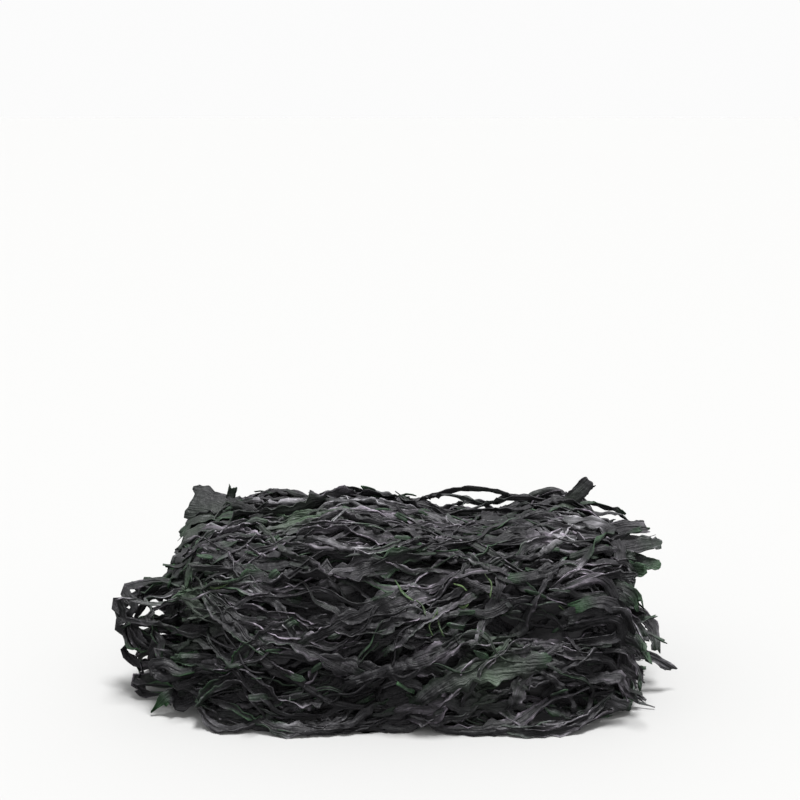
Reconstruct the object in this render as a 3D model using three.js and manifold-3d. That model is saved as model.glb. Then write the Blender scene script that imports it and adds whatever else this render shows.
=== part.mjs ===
// Dried wakame: a heap of long, shrivelled seaweed strips that lie mostly one way and are tangled together.
// One solid: a lumpy core with the strips that show fused on, flat underneath, where it rests.
// Millimetres, +Z up. The heap is long in X, and the side that shows best faces -Y.

import * as THREE from "three";
import { mergeVertices } from "three/addons/utils/BufferGeometryUtils.js";
import Module from "manifold-3d";

const wasm = await Module();
wasm.setup();

// Driving sizes of the heap's skin, where its outermost strips lie, from its middle on the floor
const LEFT_REACH = 108;
const RIGHT_REACH = 112;
const FRONT_DEPTH = 62;
const BACK_DEPTH = 70;
const HEIGHT = 82;
const END_BLUNTNESS = 4.5; // power of the superellipse along the heap: higher is squarer
const SIDE_BLUNTNESS = 2.7; // and across it
const END_SAG = 0.6; // how much of the narrowing at the ends the height takes

// Slow swellings of the skin, and the hollow in the right of its front
const SWELLS = [
  { depth: 0.035, along: 21, round: 34, phase: 0.6 },
  { depth: 0.028, along: -12, round: 19, phase: 2.1 },
];
const HOLLOW = { x: 62, girth: 50, halfLength: 25, halfHeight: 17, depth: 0.15 };

// Driving sizes of the core, which lies under the strips
const CORE_INSET = 6;
const CORE_CUTS_ROUND = 28;
const CORE_CUTS_ALONG = 16;

// Driving sizes of the strips
const THICKNESS = 1.8;
const BROAD_WIDTH = 10; // a strip at least this wide is creased along its middle
const CUT_SPACING = 13;
const LEAST_CUTS = 3;
const SWELL_SHARE = 0.2; // how far a strip widens and narrows on its way
const SWELL_TURN = 9; // radians of that along the strip
const END_WIDTH = 0.5; // a strip's width at its ends, as a share of its width
const TAPER_POWER = 0.6; // how suddenly it narrows to them
const CUP = 0.18; // how far its edges stand up, as a share of half its width
const BURIED = -10; // lift of a strip's end that goes into the core
const ROOT_DEPTH = 7; // how far a strip that lies on the heap reaches down into it
const JOIN_TOLERANCE = 0.1; // edges shorter than this close up when the solids are joined

// The middle of the finished outline, which becomes the origin
const OUTLINE_MIDDLE = { x: 1.18, y: 2.83 };

const WAKAME = new THREE.MeshStandardMaterial({ color: 0x2b2c2d, roughness: 0.6, metalness: 0 });

// Even draws from 0 to 1, of up to seven kinds: steps of the powers of the root of x^8 = x + 1
const DRAW_RATIO = 1.1347241384015194;
const draw = (count, kind) => ((count + 1) / DRAW_RATIO ** (kind + 1)) % 1;
const between = (low, high, share) => low + (high - low) * share;
const signedPower = (value, power) => Math.sign(value) * Math.abs(value) ** power;

// The skin's section at the heap's middle, from the front floor at angle 0 over the top to the back floor
function sectionPoint(angle) {
  const cos = Math.cos(angle);
  const depth = cos > 0 ? FRONT_DEPTH : BACK_DEPTH;
  const y = -depth * signedPower(cos, 2 / SIDE_BLUNTNESS);
  const z = HEIGHT * Math.max(Math.sin(angle), 0) ** (2 / SIDE_BLUNTNESS);
  return new THREE.Vector2(y, z);
}

// Girth is the distance round that section from the front floor
const GIRTH_STEPS = 180;
const girthTable = [0];
for (let step = 1; step <= GIRTH_STEPS; step++) {
  const before = sectionPoint((Math.PI * (step - 1)) / GIRTH_STEPS);
  const after = sectionPoint((Math.PI * step) / GIRTH_STEPS);
  girthTable.push(girthTable[step - 1] + before.distanceTo(after));
}
const WHOLE_GIRTH = girthTable[GIRTH_STEPS];

function angleAtGirth(girth) {
  const wanted = THREE.MathUtils.clamp(girth, 0, WHOLE_GIRTH);
  const above = Math.max(1, girthTable.findIndex((length) => length >= wanted));
  const share = (wanted - girthTable[above - 1]) / (girthTable[above] - girthTable[above - 1]);
  return (Math.PI * (above - 1 + share)) / GIRTH_STEPS;
}

function swelling(x, angle) {
  const degrees = THREE.MathUtils.radToDeg(angle);
  const wave = ({ depth, along, round, phase }) => depth * Math.sin(x / along + degrees / round + phase);
  const waves = SWELLS.reduce((sum, swell) => sum + wave(swell), 0);
  const fromX = (x - HOLLOW.x) / HOLLOW.halfLength;
  const fromAngle = (angle - angleAtGirth(HOLLOW.girth)) / angleAtGirth(HOLLOW.halfHeight);
  return 1 + waves - HOLLOW.depth * Math.exp(-(fromX ** 2) - fromAngle ** 2);
}

// A point of the skin. narrowing is 1 in the heap's middle and 0 at the tip of either end.
function skinPoint(x, angle, narrowing) {
  const section = sectionPoint(angle).multiplyScalar(swelling(x, angle));
  return new THREE.Vector3(x, section.x * narrowing, section.y * narrowing ** END_SAG);
}

function narrowingAt(x) {
  const reach = x < 0 ? LEFT_REACH : RIGHT_REACH;
  return Math.max(0, 1 - Math.abs(x / reach) ** END_BLUNTNESS) ** (1 / END_BLUNTNESS);
}

// The way out of the heap at a point: the slope of an ellipsoid of the heap's size
function outward(point) {
  const reach = point.x < 0 ? LEFT_REACH : RIGHT_REACH;
  const depth = point.y < 0 ? FRONT_DEPTH : BACK_DEPTH;
  return new THREE.Vector3(point.x / reach ** 2, point.y / depth ** 2, point.z / HEIGHT ** 2).normalize();
}

// A route over the heap. Each stop is [x, girth, lift above the skin].
class SkinRoute extends THREE.Curve {
  constructor(stops) {
    super();
    this.stops = new THREE.CatmullRomCurve3(stops.map((stop) => new THREE.Vector3(...stop)));
  }
  getPoint(share) {
    const { x, y: girth, z: lift } = this.stops.getPoint(share);
    const skin = skinPoint(x, angleAtGirth(girth), narrowingAt(x));
    return skin.addScaledVector(outward(skin), lift);
  }
}

// A route through the air. Each stop is [x, y, z].
const freeRoute = (stops) => new THREE.CatmullRomCurve3(stops.map((stop) => new THREE.Vector3(...stop)));

function solidFrom(geometry) {
  geometry.deleteAttribute("normal");
  geometry.deleteAttribute("uv");
  const merged = mergeVertices(geometry);
  return new wasm.Manifold(
    new wasm.Mesh({
      numProp: 3,
      vertProperties: new Float32Array(merged.getAttribute("position").array),
      triVerts: new Uint32Array(merged.index.array),
    }),
  );
}

// The core: a ball whose poles are the heap's ends, moved out to just under the skin and flattened below
function coreSolid() {
  const ball = new THREE.SphereGeometry(1, CORE_CUTS_ROUND, CORE_CUTS_ALONG).rotateZ(-Math.PI / 2);
  const at = ball.getAttribute("position");
  for (let i = 0; i < at.count; i++) {
    const [endwise, side, up] = [at.getX(i), at.getY(i), at.getZ(i)];
    const reach = endwise < 0 ? LEFT_REACH : RIGHT_REACH;
    const x = reach * signedPower(endwise, 2 / END_BLUNTNESS);
    const narrowing = Math.hypot(side, up) ** (2 / END_BLUNTNESS);
    const point = skinPoint(x, Math.atan2(Math.abs(up), -side), narrowing);
    point.addScaledVector(outward(point), -CORE_INSET);
    at.setXYZ(i, point.x, point.y, up > 0 ? Math.max(point.z, 0) : 0);
  }
  return solidFrom(ball);
}

// A strip: a box with many cross cuts, bent along its route. It narrows to its ends, swells and thins
// on the way, rolls about its route and is cupped, with its edges up. root is how far it goes on below.
function stripSolid({ route, width, endWidth = END_WIDTH, roll = 0, twist = 0, phase = 0, root = 0 }) {
  const cuts = Math.max(LEAST_CUTS, Math.round(route.getLength() / CUT_SPACING));
  const box = new THREE.BoxGeometry(1, 1, 1, width >= BROAD_WIDTH ? 2 : 1, 1, cuts);
  const at = box.getAttribute("position");
  for (let i = 0; i < at.count; i++) {
    const side = 2 * at.getX(i);
    const share = at.getZ(i) + 0.5;
    const middle = route.getPointAt(share);
    const along = route.getTangentAt(share);
    const out = outward(middle).projectOnPlane(along).normalize();
    out.applyAxisAngle(along, roll + twist * (share - 0.5));
    const across = new THREE.Vector3().crossVectors(out, along);
    const swell = 1 + SWELL_SHARE * Math.sin(SWELL_TURN * share + phase);
    const half = (width / 2) * swell * between(endWidth, 1, Math.sin(Math.PI * share) ** TAPER_POWER);
    middle.addScaledVector(across, side * half);
    const below = at.getY(i) < 0 ? root : 0;
    middle.addScaledVector(out, THICKNESS * at.getY(i) - below + CUP * half * Math.abs(side));
    at.setXYZ(i, middle.x, middle.y, middle.z);
  }
  return solidFrom(box);
}

// Strips that stand out, over the skin: stops are [x, girth, lift]
const LAID_STRIPS = [
  { stops: [[-74, 122, BURIED], [-66, 108, 1], [-52, 83, 1], [-38, 74, 0], [-20, 55, BURIED]], width: 4 },
  { stops: [[-92, 10, BURIED], [-80, 22, 2], [-68, 26, 3], [-52, 14, 2], [-30, 13, BURIED]], width: 11 },
  { stops: [[-62, 37, BURIED], [-46, 26, 1], [-28, 13, 1], [-4, 8, BURIED]], width: 5 },
  { stops: [[-64, 47, BURIED], [-46, 41, 1], [-28, 33, 1], [-14, 26, BURIED]], width: 6 },
  { stops: [[-26, 24, BURIED], [-8, 29, 1], [8, 34, 1], [22, 40, BURIED]], width: 6 },
  { stops: [[48, 6, BURIED], [53, 22, 3], [62, 34, 4], [74, 42, BURIED]], width: 6 },
  { stops: [[56, 33, BURIED], [69, 23, 2], [80, 6, BURIED]], width: 6 },
  { stops: [[20, 116, BURIED], [32, 95, 1], [46, 79, 1], [62, 70, BURIED]], width: 4 },
  { stops: [[100, 122, BURIED], [93, 97, 2], [76, 78, 2], [48, 70, BURIED]], width: 11, twist: 0.8 },
  { stops: [[76, 86, BURIED], [62, 66, 1], [50, 48, 1], [40, 34, BURIED]], width: 5 },
  { stops: [[-98, 66, BURIED], [-66, 70, 1], [-20, 72, 1], [24, 92, BURIED]], width: 9 },
  { stops: [[-46, 40, BURIED], [-17, 53, 2], [16, 62, BURIED]], width: 7 },
  { stops: [[-8, 36, BURIED], [12, 50, 2], [36, 63, BURIED]], width: 5 },
  { stops: [[4, 14, BURIED], [30, 28, 2], [66, 33, BURIED]], width: 10 },
  { stops: [[-88, 70, BURIED], [-74, 51, 2], [-58, 36, BURIED]], width: 6 },
  { stops: [[-76, 28, BURIED], [-62, 43, 2], [-44, 52, BURIED]], width: 6 },
  { stops: [[-82, 126, BURIED], [-53, 121, 1], [-22, 138, 1], [16, 139, BURIED]], width: 13 },
  { stops: [[10, 92, BURIED], [34, 112, 1], [62, 130, 1], [98, 138, BURIED]], width: 8 },
];

// Strips that leave the heap, through the air: stops are [x, y, z]
const STANDING_STRIPS = [
  {
    stops: [[-62, 10, 66], [-80, 17, 75], [-92, 21, 80], [-104, 25, 86]],
    width: 14,
    roll: 0.5,
    endWidth: 0.75,
  },
  { stops: [[-84, 27, 66], [-82, 25, 80], [-79, 25, 88]], width: 5, roll: 1.2, endWidth: 0.8 },
  { stops: [[82, 18, 62], [90, 20, 79], [95, 20, 88], [101, 21, 95]], width: 8, roll: 1.3, endWidth: 0.9 },
  { stops: [[4, 28, 70], [18, 30, 87], [36, 30, 92], [52, 28, 89], [64, 26, 70]], width: 4, endWidth: 0.8 },
];
const RIGHT_END_STRIPS = [
  { stops: [[80, 4, 62], [106, 4, 75], [122, 6, 76]], width: 7, endWidth: 0.9 },
  { stops: [[80, 10, 58], [110, 0, 69], [128, -2, 68]], width: 9, endWidth: 0.8 },
  { stops: [[78, -18, 54], [100, -20, 58], [112, -22, 62]], width: 8, roll: 0.6, endWidth: 0.7 },
  { stops: [[78, -18, 46], [104, -18, 40], [118, -12, 32], [122, -14, 18]], width: 8, roll: 0.4 },
  { stops: [[80, -26, 24], [106, -25, 21], [122, -22, 17], [136, -20, 10]], width: 5 },
  { stops: [[70, -40, 10], [92, -48, 9], [104, -46, 4]], width: 8 },
];
const LEFT_END_LOOPS = [
  {
    stops: [
      [-80, -16, 48], [-112, -12, 50], [-131, -12, 43], [-130, -18, 32], [-104, -26, 28], [-78, -28, 26],
    ],
    width: 8,
  },
  { stops: [[-78, 4, 58], [-106, 0, 58], [-120, -4, 48], [-112, -10, 38], [-84, -10, 34]], width: 7 },
  {
    stops: [
      [-78, -20, 36], [-116, -18, 30], [-129, -18, 18], [-122, -26, 7], [-96, -34, 10], [-74, -34, 14],
    ],
    width: 6,
  },
  { stops: [[-72, -38, 16], [-98, -46, 9], [-110, -46, 4]], width: 9 },
];

// Strips combed along the heap under and between those, all over it, by even draws
const COMBED_STRIPS = 64;
const COMBED = {
  girth: [8, 238],
  farthestX: 74,
  halfLength: [30, 58],
  slope: 44, // girth that the steepest one gains on half its length
  wander: 4,
  lift: [-5, 0],
  highest: 0.55, // where it lies at that lift, as a share of half its length
  dip: 2, // how much lower it lies at its middle
  twist: 1.4,
  width: [6, 14],
  endClearance: 4,
};

function combedRoute(count) {
  const girth = between(...COMBED.girth, draw(count, 0));
  const middleX = COMBED.farthestX * (2 * draw(count, 1) - 1);
  const half = between(...COMBED.halfLength, draw(count, 2));
  const rise = COMBED.slope * signedPower(2 * draw(count, 3) - 1, 2);
  const lift = between(...COMBED.lift, draw(count, 4));
  const stop = (share, height) => {
    const x = middleX + half * share;
    const wave = COMBED.wander * Math.sin(Math.PI * (share + 2 * draw(count, 5)));
    return [
      THREE.MathUtils.clamp(x, COMBED.endClearance - LEFT_REACH, RIGHT_REACH - COMBED.endClearance),
      THREE.MathUtils.clamp(girth + rise * share + wave, 0, WHOLE_GIRTH),
      height,
    ];
  };
  return new SkinRoute([
    stop(-1, BURIED),
    stop(-COMBED.highest, lift),
    stop(0, lift - COMBED.dip),
    stop(COMBED.highest, lift),
    stop(1, BURIED),
  ]);
}

// Cut ends that stick out of both ends of the heap, spread evenly over each end: short ones hang down it
const TIPS_EACH_END = 20;
const GOLDEN_SHARE = 0.6180339887;
const TIPS = {
  inside: 30,
  outside: [-2, 20],
  angle: [0.06, 0.94], // share of the half turn from the front floor to the back floor
  farthest: 0.9, // share of the way from the heap's axis to its skin
  fan: 1.1, // how much further apart they are at each stop
  droop: 26,
  lowest: 3,
  width: [7, 13],
  endWidth: 0.8,
};

function tipRoute(count, end) {
  const reach = end < 0 ? LEFT_REACH : RIGHT_REACH;
  const angle = Math.PI * between(...TIPS.angle, (count * GOLDEN_SHARE) % 1);
  const fromMiddle = TIPS.farthest * Math.sqrt((count + 0.5) / TIPS_EACH_END);
  const root = sectionPoint(angle).multiplyScalar(fromMiddle);
  const rootZ = Math.max(root.y, TIPS.lowest);
  const outShare = draw(count, 2);
  const tipX = reach + between(...TIPS.outside, outShare);
  const tipZ = Math.max(rootZ - TIPS.droop * (1 - outShare), TIPS.lowest);
  return freeRoute([
    [end * (reach - TIPS.inside), root.x, rootZ],
    [end * (reach - CORE_INSET), root.x * TIPS.fan, rootZ],
    [end * tipX, root.x * TIPS.fan ** 2, tipZ],
  ]);
}

// Every strip, with a phase of its own for the places where it swells
function allStrips() {
  const numbered = (strips) => strips.map((strip, count) => ({ phase: count, ...strip }));
  const laid = LAID_STRIPS.map(({ stops, ...form }) => ({
    route: new SkinRoute(stops),
    root: ROOT_DEPTH,
    ...form,
  }));
  const free = [...STANDING_STRIPS, ...RIGHT_END_STRIPS, ...LEFT_END_LOOPS].map(({ stops, ...form }) => ({
    route: freeRoute(stops),
    ...form,
  }));
  const combed = Array.from({ length: COMBED_STRIPS }, (_, count) => ({
    route: combedRoute(count),
    width: between(...COMBED.width, draw(count, 6)),
    twist: COMBED.twist * (draw(count, 2) - 0.5),
    root: ROOT_DEPTH,
  }));
  const tips = [-1, 1].flatMap((end) =>
    Array.from({ length: TIPS_EACH_END }, (_, count) => ({
      route: tipRoute(count, end),
      width: between(...TIPS.width, draw(count, 4)),
      roll: 2 * draw(count, 5) - 1,
      endWidth: TIPS.endWidth,
    })),
  );
  return [combed, laid, tips, free].flatMap(numbered);
}

// What lies below the surface that the heap rests on
const FLOOR = { length: 400, depth: 300, thickness: 40 };

function floorSolid() {
  const block = new THREE.BoxGeometry(FLOOR.length, FLOOR.depth, FLOOR.thickness);
  return solidFrom(block.translate(0, 0, -FLOOR.thickness / 2));
}

// The core and its strips as one body, cut flat underneath.
// A loose scrap, or a hollow that joining seals, is left out.
function heapGeometry() {
  const joined = allStrips().reduce((heap, strip) => heap.add(stripSolid(strip)), coreSolid());
  const bodies = joined.subtract(floorSolid()).asOriginal().simplify(JOIN_TOLERANCE).decompose();
  const largest = bodies.reduce((best, body) => (body.volume() > best.volume() ? body : best));
  const { vertProperties, triVerts } = largest.getMesh();
  const geometry = new THREE.BufferGeometry();
  geometry.setAttribute("position", new THREE.BufferAttribute(vertProperties, 3));
  geometry.setIndex(new THREE.BufferAttribute(triVerts, 1));
  return geometry;
}

const heap = new THREE.Mesh(heapGeometry(), WAKAME);
heap.name = "wakame_heap";
heap.position.set(-OUTLINE_MIDDLE.x, -OUTLINE_MIDDLE.y, 0);

const driedWakame = new THREE.Group();
driedWakame.add(heap);

export default driedWakame;
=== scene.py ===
"""Dried wakame: a heap of long, shrivelled seaweed strips, tangled and combed mostly one way.

Routes and sizes are in millimetres from the middle of the heap on its floor, and become metres in the mesh.
"""

import bmesh
import bpy
import numpy as np
from mathutils import Matrix, Vector


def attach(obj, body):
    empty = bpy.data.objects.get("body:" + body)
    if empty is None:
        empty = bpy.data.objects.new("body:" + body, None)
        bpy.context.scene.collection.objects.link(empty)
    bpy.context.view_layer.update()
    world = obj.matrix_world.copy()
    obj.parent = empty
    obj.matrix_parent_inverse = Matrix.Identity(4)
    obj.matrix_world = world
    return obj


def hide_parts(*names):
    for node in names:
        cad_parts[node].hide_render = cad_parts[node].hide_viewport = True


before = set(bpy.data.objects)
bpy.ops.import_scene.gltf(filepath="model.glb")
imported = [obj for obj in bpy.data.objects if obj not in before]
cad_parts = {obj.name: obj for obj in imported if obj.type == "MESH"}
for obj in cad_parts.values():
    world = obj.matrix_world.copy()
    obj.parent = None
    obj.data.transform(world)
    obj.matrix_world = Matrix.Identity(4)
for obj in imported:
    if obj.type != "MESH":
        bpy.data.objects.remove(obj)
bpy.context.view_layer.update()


# The core of the heap
# Under the strips that show, a heap of dried wakame is a dark mass of the same strips, pressed together.
# It is a ball drawn out to the heap's form, kept well under its skin, furrowed lengthwise and flat below.
LEFT_REACH = 108.0
RIGHT_REACH = 112.0
FRONT_DEPTH = 62.0
BACK_DEPTH = 70.0
HEIGHT = 82.0
END_BLUNTNESS = 4.5  # power of the superellipse along the heap: higher is squarer
SIDE_BLUNTNESS = 2.7  # and across it
END_SAG = 0.6  # how much of the narrowing at the ends the height takes
SECTION_STEPS = 181  # points at which the girth of its section is measured
SWELLS = ((0.035, 21.0, 34.0, 0.6), (0.028, -12.0, 19.0, 2.1))  # depth, along, round, phase
HOLLOWS = (  # x, girth, half length, half height, depth
    (62.0, 50.0, 25.0, 17.0, 0.15),
    (52.0, 140.0, 21.0, 38.0, 0.065),
)
OUTLINE_MIDDLE = np.array([1.18, 2.83, 0.0])  # from the heap's middle to the part's origin
METRES = 0.001
TINY = 1e-9  # the least length that a direction is worked out from

CORE_INSET = 11.0
CORE_LEFT_CUT = 14.0  # how much shorter than the heap the core is: light shows between the loops there
CORE_RIGHT_CUT = 11.0
FURROW_DEPTH = 1.6
FURROW_WAVES = 24  # to a whole turn round the heap
FURROW_WINDING = 17.0
SLANTED_FURROWS = 15  # that cross them
FURROW_SLANT = 11.0
SLANTED_SHARE = 0.6
CORE_COLOUR = (0.07, 0.069, 0.073, 1.0)
CORE_LIGHT_COLOUR = (0.12, 0.118, 0.125, 1.0)
CORE_STRANDS = (90, 420, 420)  # to a metre, along the heap and across it
CORE_RELIEF = {"Strength": 0.8, "Distance": 0.0012}
CORE_ROUGHNESS = 0.75


def section(angle):
    """Side and height of the heap's middle section, from the front floor at angle 0 to the back floor."""
    cosine = np.cos(angle)
    depth = np.where(cosine > 0, FRONT_DEPTH, BACK_DEPTH)
    side = -depth * np.sign(cosine) * np.abs(cosine) ** (2 / SIDE_BLUNTNESS)
    height = HEIGHT * np.maximum(np.sin(angle), 0) ** (2 / SIDE_BLUNTNESS)
    return np.array([side, height])


# Girth is the distance round that section from the front floor
angle_steps = np.linspace(0, np.pi, SECTION_STEPS)
girth_steps = np.concatenate([[0], np.cumsum(np.hypot(*np.diff(section(angle_steps))))])
WHOLE_GIRTH = girth_steps[-1]


def angle_at(girth):
    return np.interp(girth, girth_steps, angle_steps)


def reach_at(x):
    return np.where(x < 0, LEFT_REACH, RIGHT_REACH)


def narrowing_at(x):
    """How much of its middle section the heap keeps towards its ends."""
    return np.maximum(1 - np.abs(x / reach_at(x)) ** END_BLUNTNESS, 0) ** (1 / END_BLUNTNESS)


def swelling(x, angle):
    """Slow bulges of the skin, the hollow in the right of its front and the dip in its top."""
    degrees = np.degrees(angle)
    size = 1 + sum(depth * np.sin(x / along + degrees / way + phase) for depth, along, way, phase in SWELLS)
    for hollow_x, hollow_girth, half_length, half_height, depth in HOLLOWS:
        from_x = (x - hollow_x) / half_length
        from_angle = (angle - angle_at(hollow_girth)) / angle_at(half_height)
        size = size - depth * np.exp(-(from_x**2) - from_angle**2)
    return size


def skin_at(x, angle, narrowing):
    side, height = section(angle) * swelling(x, angle)
    return np.stack([x, side * narrowing, height * narrowing**END_SAG], axis=-1)


def skin(x, girth):
    """A point of the heap's skin, where its outermost strips lie."""
    return skin_at(x, angle_at(girth), narrowing_at(x))


def unit(vectors):
    return vectors / np.maximum(np.linalg.norm(vectors, axis=-1, keepdims=True), TINY)


def ellipsoid_out(points):
    """The way out of the heap at any point: the slope of an ellipsoid of the heap's size."""
    x, y, z = np.moveaxis(points, -1, 0)
    depth = np.where(y < 0, FRONT_DEPTH, BACK_DEPTH)
    return unit(np.stack([x / reach_at(x) ** 2, y / depth**2, z / HEIGHT**2], axis=-1))


def core_points(ball):
    """Points of a unit ball with its poles on X, moved to the core's surface."""
    endwise, side, up = ball.T
    reach = reach_at(endwise)
    x = reach * np.sign(endwise) * np.abs(endwise) ** (2 / END_BLUNTNESS)
    angle = np.arctan2(np.abs(up), -side)
    points = skin_at(x, angle, np.hypot(side, up) ** (2 / END_BLUNTNESS))
    winding = np.sin(angle * FURROW_WAVES + np.sin(x / FURROW_WINDING))
    furrows = winding + SLANTED_SHARE * np.sin(angle * SLANTED_FURROWS - x / FURROW_SLANT)
    points -= ellipsoid_out(points) * (CORE_INSET + FURROW_DEPTH * furrows)[:, None]
    cut = np.where(endwise < 0, CORE_LEFT_CUT, CORE_RIGHT_CUT)
    points[:, 0] *= (reach - cut) / reach
    points[:, 2] = np.where(up > 0, np.maximum(points[:, 2], 0), 0)
    return (points - OUTLINE_MIDDLE) * METRES


def add_node(tree, kind, inputs=None, **settings):
    """A shader node with its settings, and each input a value or a link from another node's output."""
    made = tree.nodes.new(kind)
    for name, value in settings.items():
        setattr(made, name, value)
    for name, value in (inputs or {}).items():
        if isinstance(value, bpy.types.NodeSocket):
            tree.links.new(value, made.inputs[name])
        else:
            made.inputs[name].default_value = value
    return made


def add_noise(tree, place, scale, detail):
    """A noise from about 0 to 1, with so many waves to a unit of place."""
    inputs = {"Vector": place, "Scale": scale, "Detail": detail}
    return add_node(tree, "ShaderNodeTexNoise", inputs).outputs["Fac"]


def blended(tree, factor, first, second):
    """Colour from first, at factor 0, to second, at factor 1."""
    inputs = {"Fac": factor, "Color1": first, "Color2": second}
    return add_node(tree, "ShaderNodeMixRGB", inputs).outputs["Color"]


def new_finish(name):
    """An empty material, with its node tree and its shader."""
    finish = bpy.data.materials.new(name)
    finish.use_nodes = True
    return finish, finish.node_tree, finish.node_tree.nodes["Principled BSDF"]


def add_piece(name, mesh, finish):
    """A piece of the heap, with its finish, on the heap's one body."""
    mesh.shade_smooth()
    mesh.materials.append(finish)
    piece = bpy.data.objects.new(name, mesh)
    bpy.context.scene.collection.objects.link(piece)
    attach(piece, "root")
    return piece


core_finish, tree, shader = new_finish("packed_wakame")
place = add_node(tree, "ShaderNodeTexCoord").outputs["Object"]
combed_place = add_node(tree, "ShaderNodeMapping", {"Vector": place, "Scale": CORE_STRANDS}).outputs[0]
strands = add_noise(tree, combed_place, scale=1.0, detail=4.0)
core_bump = add_node(tree, "ShaderNodeBump", {"Height": strands, **CORE_RELIEF})
tree.links.new(blended(tree, strands, CORE_COLOUR, CORE_LIGHT_COLOUR), shader.inputs["Base Color"])
tree.links.new(core_bump.outputs["Normal"], shader.inputs["Normal"])
shader.inputs["Roughness"].default_value = CORE_ROUGHNESS

core_shape = bmesh.new()
bmesh.ops.create_uvsphere(core_shape, u_segments=120, v_segments=72, radius=1)
bmesh.ops.rotate(core_shape, verts=core_shape.verts, matrix=Matrix.Rotation(np.pi / 2, 3, "Y"))
ball_points = np.array([vertex.co for vertex in core_shape.verts])
for vertex, point in zip(core_shape.verts, core_points(ball_points)):
    vertex.co = point
bmesh.ops.recalc_face_normals(core_shape, faces=core_shape.faces)
core_mesh = bpy.data.meshes.new("wakame_core")
core_shape.to_mesh(core_mesh)
core_shape.free()
core = add_piece("wakame_core", core_mesh, core_finish)
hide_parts("wakame_heap")


# The strips that lie deep in the heap
# Each is a length of wakame blade, cut lengthwise and dried to half a millimetre, dark and half rolled up.
# They are laid one after another, combed along the heap, and each rests on those that are there already.
SHEET_THICKNESS = 0.55
RIM_THICKNESS_SHARE = 0.45
LOWEST = 0.2  # above the floor
DEEP_KIND = {  # the least and the greatest of each size that a strip has
    "width": (11, 19),
    "length": (70, 150),
    "gather": (0.55, 0.85),
    "curl": (-0.3, 0.5),
    "fold_length": (8, 14),
    "fold_height": (0.3, 0.9),
    "ruffle": (0, 0.8),
    "ruffle_length": (9, 16),
    "arch": (0, 0.6),
    "arch_length": (25, 60),
    "pinch": (0.1, 0.5),
    "pinch_length": (30, 70),
    "roll": (0.1, 0.5),
    "roll_length": (60, 130),
    "lean": (-0.3, 0.3),
    "shingle": (0.1, 0.6),
    "crinkle": (0.1, 0.4),
    "uneven": (0.1, 0.4),
    "fray": (0, 0.6),
    "end_width": (0.3, 0.7),
    "torn": (0.5, 2),
    "tone": (-0.4, 0.1),
    "green": (0, 0.6),
    "pale": (0, 0),
    "fresh": (0, 0),
}
PHASES = 12  # of the waves in a strip


def drawn_forms(draws, count, kind):
    """The sizes and bends of each strip, drawn between the least and the greatest of its kind."""
    forms = {name: draws.uniform(least, greatest, count) for name, (least, greatest) in kind.items()}
    forms["phase"] = draws.uniform(0, 2 * np.pi, (count, PHASES))
    return [{name: values[i] for name, values in forms.items()} for i in range(count)]


def wave(along, length, phase):
    return np.sin(2 * np.pi * along / length + phase)


def wandering(start, along, waves, phases):
    """A start that changes along a strip by waves of (size, length)."""
    for (size, length), phase in zip(waves, phases):
        start = start + size * wave(along, length, phase)
    return start


# Where strips run: combed along the heap, each with a turn, bends and kinks of its own
FLOOR_GIRTH = 6.0  # how near the floor a route may come
LEFT_START = (-4, 18)  # from the heap's left end to the first place where a route may be
RIGHT_STOP = (-18, 6)  # and from its right end to the last
OVERRUN = 0.3  # of a strip's length, how far past those places its middle may be drawn
SHORTEST = 44.0
SLANT_POWER = 1.5  # how rare the steepest slants are
BEND_LENGTH = (45, 130)
KINK_LENGTH = (14, 32)
KINK_SHARE = 0.8  # size of the kinks, to the bends
FRONT_TOP_GIRTH = 76.0  # where the front face of the heap turns into its top
FRONT_FADE = 10.0  # how slowly
FRONT_COMB = (0.3, 60.0, 38.0)  # slope, shift and length of the sweep of the front's strips
WHOLE_COMB = (0.1, 31.0, 37.0)  # slope, length and girth of the slow sweep of all of them


def comb(x, girth):
    """The way in which the strips are combed: how much girth they gain along the heap."""
    front = 1 / (1 + np.exp((girth - FRONT_TOP_GIRTH) / FRONT_FADE))
    front_slope, shift, front_length = FRONT_COMB
    slope, length, round_length = WHOLE_COMB
    front_sweep = front * front_slope * np.sin((x + shift) / front_length)
    return front_sweep + slope * np.sin(x / length + girth / round_length)


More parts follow.
